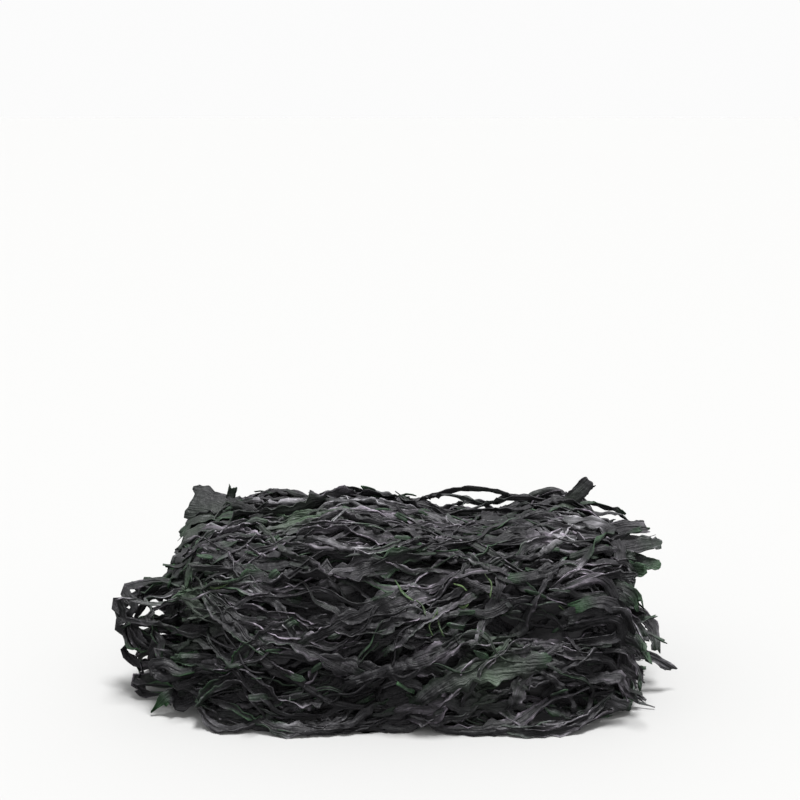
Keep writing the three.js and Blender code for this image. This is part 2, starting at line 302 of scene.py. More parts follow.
def combed_routes(draws, lengths, rows, slant, wander):
    """Routes over the heap, one for each length: x and girth at each row. Together they cover it evenly."""
    count = len(lengths)
    girth_order = (draws.permutation(count) + draws.uniform(0, 1, count)) / count
    girth = FLOOR_GIRTH + girth_order * (WHOLE_GIRTH - 2 * FLOOR_GIRTH)
    left_end = -LEFT_REACH + draws.uniform(*LEFT_START, count)
    right_end = RIGHT_REACH + draws.uniform(*RIGHT_STOP, count)
    middle = draws.uniform(left_end - OVERRUN * lengths, right_end + OVERRUN * lengths)
    start = np.clip(middle - lengths / 2, left_end, right_end - SHORTEST)
    stop = np.clip(middle + lengths / 2, start + SHORTEST, right_end)
    x = (start + stop) / 2
    step = (stop - start) / (rows - 1)
    turn = draws.uniform(-1, 1, count)
    turn = slant * np.sign(turn) * np.abs(turn) ** SLANT_POWER
    bend_length = draws.uniform(*BEND_LENGTH, count)
    kink_length = draws.uniform(*KINK_LENGTH, count)
    phase = draws.uniform(0, 2 * np.pi, (2, count))
    halves = []
    for way in (-1, 1):
        here_x, here_girth = x, girth
        half = []
        for row in range(rows // 2):
            gone = way * row * step
            heading = np.arctan(comb(here_x, here_girth)) + turn
            heading = heading + wander * wave(gone, bend_length, phase[0])
            heading = heading + KINK_SHARE * wander * wave(gone, kink_length, phase[1])
            here_x = here_x + way * step * np.cos(heading)
            here_girth = here_girth + way * step * np.sin(heading)
            bounded = np.clip(here_girth, FLOOR_GIRTH, WHOLE_GIRTH - FLOOR_GIRTH)
            half.append(np.stack([here_x, bounded], axis=-1))
        halves.append(half)
    return np.stack(halves[0][::-1] + halves[1], axis=1)


# How strips come to lie: a map has how high the heap has grown above or below its skin
CELL = 1.5  # of that map
MAP_HALF_LENGTH = 150.0
FIRST_HEIGHT = 1.0  # above the core
FEELERS = 9  # places across a strip where it meets what is under it
BRIDGING = 0.6  # from 0, on the mean height of what is under it, to 1, on the highest
STIFF_ROUNDS = 3  # times that a stiff strip is lifted out of the hollows
MOST_CURL = 2.0
CURL_FLATNESS = 6.0  # width of a curled strip, to the depth of its curl
SUNK_SHARE = 0.35  # how much of a strip's depth is under its middle
COVER_SHARE = 0.3  # and how much of it carries the next strips
END_DIVE = 10.0  # how far a strip's ends go in under the others
END_DIVE_SHARE = 0.14
DIVE_INSET = 10.0  # from the heap's ends, where they stay out
SKIN_INSET = 6.0  # from the heap's ends, where a route leaves its skin
FREE_DROOP = 0.012  # how fast a strip that leaves the heap's end hangs down
HALF_STEP = 0.5  # over which the skin's slope is measured
PRESSED_FROM = -5.0  # height above the skin from which the strips are pressed together
PRESSED_ROOM = 8.5  # and the most that they can add to it

map_shape = (int(WHOLE_GIRTH / CELL) + 1, int(2 * MAP_HALF_LENGTH / CELL) + 1)
grown = np.full(map_shape, FIRST_HEIGHT - CORE_INSET)


def map_cells(x, girth):
    column = np.clip((x + MAP_HALF_LENGTH) / CELL, 0, map_shape[1] - 1).astype(int)
    row = np.clip(girth / CELL, 0, map_shape[0] - 1).astype(int)
    return row, column


def smoothed(values, span):
    """A running mean over span values, which is odd."""
    padded = np.pad(values, span // 2, mode="edge")
    return np.convolve(padded, np.full(span, 1 / span), mode="valid")


def form_depth(form):
    """How thick a strip lies, with its curl and folds."""
    rolled = min(abs(form["curl"]), MOST_CURL) * form["width"] * form["gather"] / CURL_FLATNESS
    return SHEET_THICKNESS + rolled + form["fold_height"]


def settle(x, girth, form, stiff_length):
    """Height above the skin at which a strip comes to lie on what is there. It then is there itself."""
    depth = form_depth(form)
    way = unit(np.stack([np.gradient(x), np.gradient(girth)], axis=-1))
    reach = np.linspace(-1, 1, FEELERS)[:, None] * form["width"] * form["gather"] / 2
    cells = map_cells(x - way[:, 1] * reach, girth + way[:, 0] * reach)
    under = grown[cells]
    height = BRIDGING * under.max(axis=0) + (1 - BRIDGING) * under.mean(axis=0)
    steps = np.hypot(np.gradient(x), np.gradient(girth))
    along = np.cumsum(steps)
    span = 2 * int(stiff_length / steps.mean() / 2) + 1
    span = min(span, len(x) // 2 * 2 - 1)
    for _ in range(STIFF_ROUNDS):
        height = np.maximum(height, smoothed(height, span))
    height = smoothed(height, span) + SUNK_SHARE * depth
    arching = wave(along, form["arch_length"], form["phase"][0])
    height = height + form["arch"] * np.maximum(arching, 0) ** 2
    from_end = np.clip(np.minimum(along, along[-1] - along) / along[-1] / END_DIVE_SHARE, 0, 1)
    inside = np.abs(x) < reach_at(x) - DIVE_INSET
    height = height - END_DIVE * (1 - from_end) ** 2 * inside
    np.maximum.at(grown, cells, np.broadcast_to(height + COVER_SHARE * depth, cells[0].shape))
    return height


def lifted_route(x, girth, height):
    """Points over the skin, and the way out of the heap there. Past an end, they go on in the air."""
    reach = reach_at(x) - SKIN_INSET
    on_skin = np.clip(x, -reach, reach)
    past = x - on_skin
    lengthwise = skin(on_skin + HALF_STEP, girth) - skin(on_skin - HALF_STEP, girth)
    round_heap = skin(on_skin, girth + HALF_STEP) - skin(on_skin, girth - HALF_STEP)
    out = unit(np.cross(lengthwise, round_heap))
    over = np.maximum(height - PRESSED_FROM, 0)
    pressed = np.minimum(height, PRESSED_FROM) + PRESSED_ROOM * (1 - np.exp(-over / PRESSED_ROOM))
    centre = skin(on_skin, girth) + out * pressed[:, None]
    centre[:, 0] += past
    centre[:, 2] -= FREE_DROOP * past**2
    return centre, out


# What a strip's finish reads: its tone, with painted shade; its crests and rims, for painted highlight; how
# green or pale it is; and where on the strip a point is
PALE_PLACES = ((-46, 108), (-98, 60), (-97, 122), (40, 28))  # x and girth, where thin blade shows
PALE_RADIUS = 15.0
PALE_HERE = 1.7  # how pale strips are there
# Painted shade: strips are darker round these places, given by x and girth, where the hollow and the low
# front of the heap lie in shadow
SHADED_PLACES = ((-80, 44), (-60, 33), (-40, 42), (-14, 46), (58, 54), (84, 33))
SHADED_RADIUS = 19.0
PAINTED_SHADE_STRENGTH = 0.48
LIGHT_PLACES = ((22, 86), (40, 116), (64, 104), (100, 70), (104, 45), (22, 30))
LIGHT_RADIUS = 20.0
LIGHTER = 0.2
GREEN_TIP = 9.0  # how far from its ends a strip may be green
THIN_LENGTH = 71.0  # from one thin green place of a strip to the next
THIN_HALF = 0.7  # how green one half of it is there, to its edges
PALE_LENGTH = 83.0  # from one pale place to the next
GREEN_POWER = 2  # how rare the greenest strips are
PALE_POWER = 5  # and the palest
PURPLE_TURNS = 7  # spread the first phase over the shades between grey and purple
APART = 300.0  # keeps the wrinkles of one strip unlike those of another


def nearness(points, places, radius):
    """From 1 at any of the places on the skin, given by x and girth, to 0 far from all of them."""
    centres = skin(*np.array(places, float).T)
    distance = np.linalg.norm(points[..., None, :] - centres, axis=-1).min(axis=-1)
    return np.exp(-((distance / radius) ** 2))


def spots(along, length, phase):
    """Short places along a strip, at 1, with more of it between them, at 0."""
    return np.clip(2 * wave(along, length, phase) - 1, 0, 1)[:, None]


def strip_marks(points, form, along, side, edge, crest):
    """What the finish reads at each point of a strip."""
    phase = form["phase"]
    tip = np.clip(1 - np.minimum(along, along[-1] - along) / GREEN_TIP, 0, 1)[:, None]
    thin_side = np.maximum(edge, THIN_HALF * np.maximum(side, 0) ** 2)
    thin = np.clip(thin_side * spots(along, THIN_LENGTH, phase[2]) + tip, 0, 1)
    pale_place = spots(along, PALE_LENGTH, phase[5]) * (1 - side**2)
    near_pale = nearness(points, PALE_PLACES, PALE_RADIUS)
    lightness = LIGHTER * nearness(points, LIGHT_PLACES, LIGHT_RADIUS)
    # painted shade, darker where the heap lies in shadow
    painted_shade = PAINTED_SHADE_STRENGTH * nearness(points, SHADED_PLACES, SHADED_RADIUS)
    marks = {
        "tone": form["tone"] + lightness - painted_shade,
        "crest": crest,
        "edge": edge,
        "green": form["green"] ** GREEN_POWER * thin,
        "pale": form["pale"] ** PALE_POWER * pale_place + PALE_HERE * form["pale"] * near_pale,
        "fresh": form["fresh"],
        "purple": np.sin(PURPLE_TURNS * phase[0]) * 0.5 + 0.5,
        "along": along[:, None] + APART * phase[1],
        "across": side * form["width"] / 2,
    }
    return {name: np.broadcast_to(values, points.shape[:2]) for name, values in marks.items()}


# How a strip is shaped along its route
TAPER_POWER = 0.5  # the lower, the later a strip narrows towards its ends
EDGE_WAVES = ((0.6, 17.0, 2.1), (0.4, 7.3, -1.3))  # size, length and shift of its edges' unevenness
EDGE_POWER = 4  # how close to its rims its edges' ruffles and frays stay
LEAST_CURL = 0.05
CURL_CHANGE = 0.6
CURL_LENGTH = 61.0
FOLD_SHARPNESS = 1.1  # at 1 a fold's crest is a sharp ridge, and at 2 a round one
FOLD_DRIFT = ((1.1, 57.0), (0.5, 23.0))  # how far folds drift across the strip, and over what length
FINE_DRIFT = ((1.3, 41.0),)
FINE_FOLDS = 2.3  # fine folds to each main one
FINE_SHARE = 0.2
BASE_GATHERING = 0.7  # of the folds
PINCHED_GATHERING = 0.9  # how much more where the strip is pinched
GATHERING_CHANGE = ((0.35, 33.0),)
RUFFLE_SHIFT = 1.7  # between the ruffles of its two edges
RUFFLE_DRIFT = ((7.0, 43.0), (3.0, 19.0))
CRUMPLES = ((21.0, 4.0), (12.0, -3.0))  # length and slant of the two waves that cross in its crumples
DENT_DEPTH = 0.3  # of the small dents in a strip, to its crumples
FRAY_POWER = 3  # how rare the longest frays are
TORN_ZONE = 8.0  # how far from its ends a strip is torn
TOOTH = 2  # columns to each tooth of a torn end


def rolled_ways(centre, out, form, along):
    """The ways ahead, across a strip and out of its face, rolled about its route."""
    ahead = unit(np.gradient(centre, axis=0))
    out = unit(out - ahead * np.sum(out * ahead, axis=-1, keepdims=True))
    across = np.cross(out, ahead)
    roll = form["lean"] + form["shingle"] * across[:, 2]
    roll = roll + form["roll"] * wave(along, form["roll_length"], form["phase"][0])
    cosine, sine = np.cos(roll)[:, None], np.sin(roll)[:, None]
    return ahead, across * cosine - out * sine, out * cosine + across * sine


def folded(turns, drift):
    """Folds from -1, in a valley, to 1, on a crest. They drift across the strip along its length."""
    return 1 - 2 * np.abs(np.sin(np.pi * turns + drift[:, None])) ** FOLD_SHARPNESS


def shaped_sheet(centre, out, form, columns, draws):
    """The middle sheet of one strip along its route, and what its finish reads at each point.

    It rolls about its route, curls across it, is gathered into folds lengthwise, ruffled and frayed at its
    edges, and torn at its ends.
    """
    phase = form["phase"]
    rows = len(centre)
    along = np.concatenate([[0], np.cumsum(np.linalg.norm(np.diff(centre, axis=0), axis=1))])
    share = along / along[-1]
    ahead, across, out = rolled_ways(centre, out, form, along)
    side = np.sin(np.linspace(-np.pi / 2, np.pi / 2, columns))[None, :]
    edge = np.abs(side) ** EDGE_POWER

    pinched = form["pinch"] * (0.5 + 0.5 * wave(along, form["pinch_length"], phase[1]))
    taper = form["end_width"] + (1 - form["end_width"]) * np.sin(np.pi * share) ** TAPER_POWER
    uneven = sum(
        size * wave(along[:, None], length, phase[2] + shift * np.sign(side))
        for size, length, shift in EDGE_WAVES
    )
    half = (form["width"] * form["gather"] / 2 * (1 - pinched) * taper)[:, None]
    half = half * (1 + form["uneven"] * uneven * np.abs(side))
    curl = form["curl"] * (1 + CURL_CHANGE * wave(along, CURL_LENGTH, phase[3]))[:, None]
    curl = np.where(np.abs(curl) < LEAST_CURL, LEAST_CURL, curl)
    sideways = half * np.sin(curl * side) / curl
    upwards = half * (1 - np.cos(curl * side)) / curl
    upwards = upwards - upwards.mean(axis=1, keepdims=True)

    flat = side * form["width"] / 2
    drift = wandering(phase[4], along, FOLD_DRIFT, phase[5:7])
    fine_drift = wandering(phase[7], along, FINE_DRIFT, phase[8:9])
    main_fold = folded(flat / form["fold_length"], drift)
    fine_fold = folded(FINE_FOLDS * flat / form["fold_length"], fine_drift)
    fold = (1 - FINE_SHARE) * main_fold + FINE_SHARE * fine_fold
    gathering = BASE_GATHERING + PINCHED_GATHERING * pinched
    gathering = wandering(gathering, along, GATHERING_CHANGE, phase[9:10])[:, None]
    upwards = upwards + form["fold_height"] / 2 * gathering * fold

    unevenly = wandering(along, along, RUFFLE_DRIFT, phase[[4, 8]])[:, None]
    side_phase = phase[10] + RUFFLE_SHIFT * np.sign(side)
    upwards = upwards + form["ruffle"] * edge * wave(unevenly, form["ruffle_length"], side_phase)
    (long, slant), (short, cross_slant) = CRUMPLES
    crumple = wave(unevenly, long, slant * side + phase[11]) * wave(unevenly, short, cross_slant * side)
    dents = draws.uniform(-1, 1, (rows, columns))
    upwards = upwards + form["crinkle"] * (crumple + DENT_DEPTH * dents)
    frays = draws.uniform(-1, 1, (rows, 2)) ** FRAY_POWER * form["fray"]
    sideways = sideways + edge * np.where(side < 0, frays[:, :1], frays[:, 1:])
    teeth = draws.uniform(-1, 1, (2, (columns + TOOTH - 1) // TOOTH))
    torn = np.repeat(teeth, TOOTH, axis=1)[:, :columns] * form["torn"]
    near_start = np.clip(1 - along / TORN_ZONE, 0, 1)[:, None]
    near_end = np.clip(1 - (along[-1] - along) / TORN_ZONE, 0, 1)[:, None]
    lengthwise = near_start * torn[0] + near_end * torn[1]
    points = (
        centre[:, None, :]
        + across[:, None, :] * sideways[..., None]
        + out[:, None, :] * upwards[..., None]
        + ahead[:, None, :] * lengthwise[..., None]
    )
    return points, strip_marks(points, form, along, side, edge, fold * np.minimum(gathering, 1))


# The finish of the strips: charcoal, a grey that is partly wear and partly painted highlight on the crests
# and edges, painted shade in the fold valleys, and green where the blade is thin
CHARCOAL = (0.0345, 0.0335, 0.037, 1.0)
# The lightest greys, plain and purple: partly wear, partly painted highlight on the crests and edges
WEAR_AND_HIGHLIGHT_GREY = (0.56, 0.543, 0.585, 1.0)
PURPLE_GREY = (0.56, 0.485, 0.59, 1.0)
LEAF_GREEN = (0.055, 0.132, 0.058, 1.0)
PALE_GREEN = (0.13, 0.19, 0.125, 1.0)
FRESH_GREEN = (0.13, 0.215, 0.075, 1.0)
WRINKLES_ALONG = 0.06  # to a millimetre
WRINKLES_ACROSS = 0.5
CRUMB_CONTRAST = (6.0, -3.1)  # times the pitting, and added to it
FRESH_CONTRAST = (4.0, -1.2)
WEAR_AND_HIGHLIGHT_POWER = 2.5  # how rare the lightest grey is
GREEN_BASE = 0.3  # how much of the green shows between the blotches
SHEEN = 0.35
STRIP_RELIEF = {"Strength": 1.0, "Distance": 0.001}

strip_finish, tree, shader = new_finish("dried_wakame")


def mark_value(name):
    return add_node(tree, "ShaderNodeAttribute", attribute_name=name).outputs["Fac"]


def arithmetic(operation, *values):
    """What an operation makes of two or three values, kept between 0 and 1."""
    inputs = dict(enumerate(values))
    return add_node(tree, "ShaderNodeMath", inputs, operation=operation, use_clamp=True).outputs[0]


def sum_of(*terms):
    """The sum of (value, weight) terms."""
    total = 0.0
    for value, weight in terms:
        inputs = {0: value, 1: weight, 2: total}
        total = add_node(tree, "ShaderNodeMath", inputs, operation="MULTIPLY_ADD").outputs[0]
    return total


# Wrinkles run along each strip, so their noise is drawn out along it
wrinkle_along = sum_of((mark_value("along"), WRINKLES_ALONG))
wrinkle_across = sum_of((mark_value("across"), WRINKLES_ACROSS))
strip_place = add_node(tree, "ShaderNodeCombineXYZ", {"X": wrinkle_along, "Y": wrinkle_across}).outputs[0]
wrinkle = add_noise(tree, strip_place, scale=1.0, detail=3.0)
heap_place = add_node(tree, "ShaderNodeTexCoord").outputs["Object"]
patches = add_noise(tree, heap_place, scale=24.0, detail=2.0)
blotch = add_noise(tree, heap_place, scale=130.0, detail=3.0)
pitting = add_noise(tree, heap_place, scale=480.0, detail=4.0)
crumbs = arithmetic("MULTIPLY", mark_value("edge"), arithmetic("MULTIPLY_ADD", pitting, *CRUMB_CONTRAST))
# How far each point goes from charcoal to the lightest grey: random wear, crumbs, wrinkles, blotches and
# patches, with painted highlight on crests and rims, painted shade in the fold valleys, and the painted
# shade that the tone carries
wear_and_painted_light = sum_of(
    (mark_value("tone"), 0.6),
    (mark_value("crest"), 0.4),
    (mark_value("edge"), 0.18),
    (crumbs, 0.5),
    (wrinkle, 0.7),
    (blotch, 0.65),
    (patches, 1.9),
    (1.0, -1.9),
)
wear_and_painted_light = arithmetic("POWER", arithmetic("ADD", wear_and_painted_light, 0.0), WEAR_AND_HIGHLIGHT_POWER)
grey = blended(tree, mark_value("purple"), WEAR_AND_HIGHLIGHT_GREY, PURPLE_GREY)
green_base = sum_of((mark_value("green"), GREEN_BASE))
green_share = arithmetic("MULTIPLY_ADD", mark_value("green"), blotch, green_base)
colour = blended(tree, green_share, blended(tree, wear_and_painted_light, CHARCOAL, grey), LEAF_GREEN)
colour = blended(tree, arithmetic("MULTIPLY", mark_value("pale"), blotch), colour, PALE_GREEN)
fresh_pits = arithmetic("MULTIPLY_ADD", pitting, *FRESH_CONTRAST)
fresh_share = arithmetic("MULTIPLY", mark_value("fresh"), fresh_pits)
tree.links.new(blended(tree, fresh_share, colour, FRESH_GREEN), shader.inputs["Base Color"])
tree.links.new(sum_of((wrinkle, 0.12), (blotch, 0.2), (1.0, 0.32)), shader.inputs["Roughness"])
shader.inputs["Specular IOR Level"].default_value = SHEEN
relief = sum_of((wrinkle, 1.8), (pitting, 0.5), (blotch, 2.2))
strip_bump = add_node(tree, "ShaderNodeBump", {"Height": relief, **STRIP_RELIEF})
tree.links.new(strip_bump.outputs["Normal"], shader.inputs["Normal"])

# How strips become one closed mesh, with a flat map of its own
ATLAS_SHAPE = 5.0  # length of a strip's rectangle in the flat map, to its width
MAP_ALONG = (0.05, 0.9)  # start and length of a strip's faces in its rectangle
MAP_ACROSS = (0.04, 0.92)
MAP_END = (0.03, 0.01)  # inner and outer side of its end faces
QUAD = 4  # corners to a face


def strip_quads(rows, columns):
    """The row of each face round a strip, and its place in the loop over both of its sides."""
    row, place = np.meshgrid(np.arange(rows - 1), np.arange(2 * columns), indexing="ij")
    return row.ravel(), place.ravel()


def map_span(part, number, count):
    """Where a face starts and stops in the flat map, as one of so many in a part of the rectangle."""
    start, length = part
    return start + length * number / count, start + length * (number + 1) / count


def flat_map(count, rows, columns):
    """Where each corner of each strip lies in the flat map: a rectangle for each, with its ends in it."""
    beside = max(int(np.ceil(np.sqrt(count / ATLAS_SHAPE))), 1)
    below = int(np.ceil(count / beside))
    row, place = strip_quads(rows, columns)
    near, far = map_span(MAP_ALONG, row, rows - 1)
    low, high = map_span(MAP_ACROSS, place, 2 * columns)
    faces = np.stack([[near, low], [far, low], [far, high], [near, high]]).transpose(2, 0, 1)
    low, high = map_span(MAP_ACROSS, np.arange(columns - 1), columns - 1)
    inner, outer = (np.full(columns - 1, side) for side in MAP_END)
    start = np.stack([[inner, low], [inner, high], [outer, high], [outer, low]]).transpose(2, 0, 1)
    end = start[:, ::-1] * [-1, 1] + [1, 0]
    one_strip = np.concatenate([faces, start, end])
    number = np.arange(count)
    corner = np.stack([number % beside, number // beside], axis=-1)[:, None, None, :]
    return (one_strip[None] + corner) / [beside, below]


def closed_strips(name, sheets):
    """One piece of many closed strips from their middle sheets: both faces, the rims and the ends."""
    middle = np.stack([points for points, _ in sheets])
    count, rows, columns, _ = middle.shape
    normal = unit(np.cross(np.gradient(middle, axis=1), np.gradient(middle, axis=2)))
    side = np.linspace(-1, 1, columns)
    thickness = SHEET_THICKNESS * (1 - (1 - RIM_THICKNESS_SHARE) * side**EDGE_POWER)
    offset = normal * thickness[:, None] / 2
    ring = np.concatenate([middle + offset, (middle - offset)[:, :, ::-1]], axis=2)
    ring[..., 2] = np.maximum(ring[..., 2], LOWEST)
    points = ((ring - OUTLINE_MIDDLE) * METRES).reshape(-1, 3)

    loop = 2 * columns
    row, place = strip_quads(rows, columns)
    after = (place + 1) % loop
    here, next_row = row * loop, (row + 1) * loop
    faces = np.stack([here + place, next_row + place, next_row + after, here + after], axis=-1)
    column = np.arange(columns - 1)
    start = np.stack([column, column + 1, loop - 2 - column, loop - 1 - column], axis=-1)
    end = start[:, ::-1] + (rows - 1) * loop
    one_strip = np.concatenate([faces, start, end])
    strip_start = np.arange(count)[:, None, None] * rows * loop
    corners = (one_strip[None] + strip_start).reshape(-1)

    mesh = bpy.data.meshes.new(name)
    mesh.vertices.add(len(points))
    mesh.vertices.foreach_set("co", points.astype(np.float32).ravel())
    mesh.loops.add(len(corners))
    mesh.loops.foreach_set("vertex_index", corners.astype(np.int32))
    mesh.polygons.add(len(corners) // QUAD)
    mesh.polygons.foreach_set("loop_start", np.arange(0, len(corners), QUAD, dtype=np.int32))
    mesh.update(calc_edges=True)
    for mark in sheets[0][1]:
        face = np.stack([marks[mark] for _, marks in sheets])
        values = np.concatenate([face, face[:, :, ::-1]], axis=2)
        attribute = mesh.attributes.new(mark, "FLOAT", "POINT")
        attribute.data.foreach_set("value", values.astype(np.float32).ravel())
    uv_map = mesh.uv_layers.new(name="OFBake")
    uv_map.uv.foreach_set("vector", flat_map(count, rows, columns).astype(np.float32).ravel())
    add_piece(name, mesh, strip_finish)


def laid_sheet(route, form, columns, stiff_length, draws):
    """The sheet of a strip that is laid on what is there, along a route of x and girth."""
    x, girth = route.T
    centre, out = lifted_route(x, girth, settle(x, girth, form, stiff_length))
    return shaped_sheet(centre, out, form, columns, draws)


def laid_strips(name, kind, seed, count, rows, columns, slant, wander, stiff_length):
    """One piece of strips of a kind, combed over the heap and laid on what is there."""
    draws = np.random.default_rng(seed)
    forms = drawn_forms(draws, count, kind)
    lengths = np.array([form["length"] for form in forms])
    sheets = []
    for form, route in zip(forms, combed_routes(draws, lengths, rows, slant, wander)):
        sheets.append(laid_sheet(route, form, columns, stiff_length, draws))
    closed_strips(name, sheets)


laid_strips(
    "deep_strips", DEEP_KIND, seed=11, count=110, rows=26, columns=5,
    slant=0.8, wander=0.2, stiff_length=24,
)


# The broad fronds
# Whole pieces of blade, up to 30 mm across when wet, that dried into deep lengthwise folds with wavy edges.
# They lie over the deep strips, and thin places in them let the green of the leaf show.
FROND_KIND = dict(
    DEEP_KIND,
    width=(11, 24),
    length=(90, 200),
    gather=(0.42, 0.65),
    curl=(-0.6, 0.9),
    fold_length=(8, 15),
    fold_height=(1.2, 3.2),
    ruffle=(0.4, 2.0),
    arch=(0, 3),
    pinch=(0.1, 0.45),
    pinch_length=(40, 110),
    roll=(0.1, 0.7),
    roll_length=(70, 160),
    lean=(-0.5, 0.5),
    crinkle=(0.4, 1.1),
    fray=(0, 0.45),
    torn=(1, 4),
    tone=(0.25, 1.1),
    green=(0, 1),
    pale=(0, 1),
)
SHADED_LOWER_TONE = (-0.5, 0.1)  # darker: painted shade, because the strips above cover them
laid_strips(
    "fronds_below", dict(FROND_KIND, tone=SHADED_LOWER_TONE), seed=37, count=26, rows=68, columns=14,
    slant=0.55, wander=0.2, stiff_length=18,
)


# The narrow strips, in two layers with the rest of the fronds between them
# The same blade, cut narrower, with its edges rolled in as it dried and its folds drawn tight along it.
# They bridge the hollows between the fronds and dive in among them at their ends.
STRIP_KIND = dict(
    DEEP_KIND,
    width=(5, 11.5),
    length=(90, 230),
    gather=(0.45, 0.75),
    curl=(-1.4, 1.8),
    fold_length=(5, 10),
    fold_height=(0.5, 1.8),
    ruffle=(0.2, 1.4),
    arch=(0, 4),
    arch_length=(22, 50),
    pinch=(0.1, 0.4),
    pinch_length=(40, 110),
    roll=(0.2, 1.2),
    roll_length=(60, 160),
    lean=(-0.7, 0.7),
    crinkle=(0.4, 1.1),
    uneven=(0.2, 0.6),
    fray=(0.1, 0.8),
    torn=(0.5, 3),
    tone=(0.25, 1.1),
    green=(0, 1),
    pale=(0, 0.8),
)
laid_strips(
    "strips_below", dict(STRIP_KIND, tone=SHADED_LOWER_TONE), seed=23, count=72, rows=66, columns=7,
    slant=0.7, wander=0.28, stiff_length=14,
)
laid_strips(
    "fronds_above", FROND_KIND, seed=59, count=17, rows=80, columns=14,
    slant=0.55, wander=0.22, stiff_length=16,
)
laid_strips(
    "strips_above", STRIP_KIND, seed=41, count=80, rows=84, columns=7,
    slant=0.75, wander=0.32, stiff_length=14,
)


# The strips that stand out
# Longer strips that lie last of all, where the eye follows them over the front and the top of the heap.
# Each is given by its width and a few stops: places along the heap, and girths from the front floor.
LAID_STRIPS = (
    (((-74, 122), (-66, 108), (-52, 83), (-38, 74), (-20, 55)), 4),
    (((-92, 10), (-80, 22), (-68, 26), (-52, 14), (-30, 13)), 14),
    (((-62, 37), (-46, 26), (-28, 13), (-4, 8)), 5),
    (((-64, 47), (-46, 41), (-28, 33), (-14, 26)), 9),
    (((-26, 24), (-8, 29), (8, 34), (22, 40)), 9),
    (((48, 6), (53, 22), (62, 34), (74, 42)), 6),
    (((56, 33), (69, 23), (80, 6)), 6),
    (((20, 116), (32, 95), (46, 79), (62, 70)), 4),
    (((100, 122), (93, 97), (76, 78), (48, 70)), 11),
    (((76, 86), (62, 66), (50, 48), (40, 34)), 5),
    (((-98, 66), (-66, 70), (-20, 72), (24, 92)), 12),
    (((-46, 40), (-17, 53), (16, 62)), 11),
    (((-8, 36), (12, 50), (36, 63)), 5),
    (((4, 14), (30, 28), (66, 33)), 14),
    (((-88, 70), (-74, 51), (-58, 36)), 9),
    (((-76, 28), (-62, 43), (-44, 52)), 6),
    (((-82, 126), (-53, 121), (-22, 138), (16, 139)), 13),
    (((10, 92), (34, 112), (62, 130), (98, 138)), 11),
    (((-16, 82), (0, 84), (11, 86), (26, 84), (34, 78), (46, 70)), 4),
    (((-6, 102), (4, 97), (14, 92), (22, 98), (32, 120), (42, 142)), 4),
    (((6, 84), (17, 88), (28, 94), (40, 104), (52, 112), (68, 114), (88, 110)), 5),
    (((40, 78), (50, 81), (57, 81), (64, 85), (73, 94), (82, 112), (86, 126)), 4),
    (((-56, 92), (-43, 88), (-20, 80), (-4, 84), (12, 95)), 4),
    (((-52, 98), (-36, 95), (-10, 94), (2, 98), (29, 108), (44, 122)), 5),
    (((-84, 82), (-72, 89), (-64, 100), (-46, 107), (-22, 100)), 4),
)
LAID_TONE = (0.3, 0.9)
LAID_ROWS = 56
ROUTE_STEPS = 24  # of the curve between two stops


def smooth_route(stops, rows):
    """Points at even distances along a smooth curve through the stops."""
    stops = np.array(stops, float)
    padded = np.concatenate([2 * stops[:1] - stops[1:2], stops, 2 * stops[-1:] - stops[-2:-1]])
    before, here, there, beyond = padded[:-3], padded[1:-2], padded[2:-1], padded[3:]
    share = np.linspace(0, 1, ROUTE_STEPS, endpoint=False)[:, None, None]
    leaving, arriving, gap = (there - before) / 2, (beyond - here) / 2, there - here
    curve = here + leaving * share + (3 * gap - 2 * leaving - arriving) * share**2
    curve = curve + (leaving + arriving - 2 * gap) * share**3
    curve = np.concatenate([curve.swapaxes(0, 1).reshape(-1, stops.shape[1]), stops[-1:]])
    gone = np.concatenate([[0], np.cumsum(np.linalg.norm(np.diff(curve, axis=0), axis=1))])
    even = np.linspace(0, gone[-1], rows)
    return np.stack([np.interp(even, gone, axis) for axis in curve.T], axis=-1)


def form_of_width(draws, kind, width, **sizes):
    """A strip of a kind, but of this width as it lies, and with these sizes given."""
    form = drawn_forms(draws, 1, kind)[0]
    form.update(sizes, width=width / form["gather"])
    return form


draws = np.random.default_rng(71)
sheets = []
for stops, width in LAID_STRIPS:
    form = form_of_width(draws, STRIP_KIND, width, tone=draws.uniform(*LAID_TONE))
    route = smooth_route(stops, LAID_ROWS)
    sheets.append(laid_sheet(route, form, columns=10, stiff_length=12, draws=draws))
closed_strips("outstanding_strips", sheets)


# The threads
# Midribs and torn shreds of blade, 1.5 to 3 mm wide, that dried to wiry strings.
# They wind over the other strips, and arch from one to the next.
THREAD_KIND = dict(
    STRIP_KIND,
    width=(2.2, 5.5),
    length=(50, 140),
    fold_height=(0.2, 0.6),
    ruffle=(0, 0.3),
    arch=(0, 5),
    roll=(0.3, 1.2),
    crinkle=(0, 0.2),
    fray=(0, 0.3),
    tone=(0.1, 0.9),
)
laid_strips(
    "threads", THREAD_KIND, seed=53, count=62, rows=48, columns=4,
    slant=0.9, wander=0.42, stiff_length=10,
)


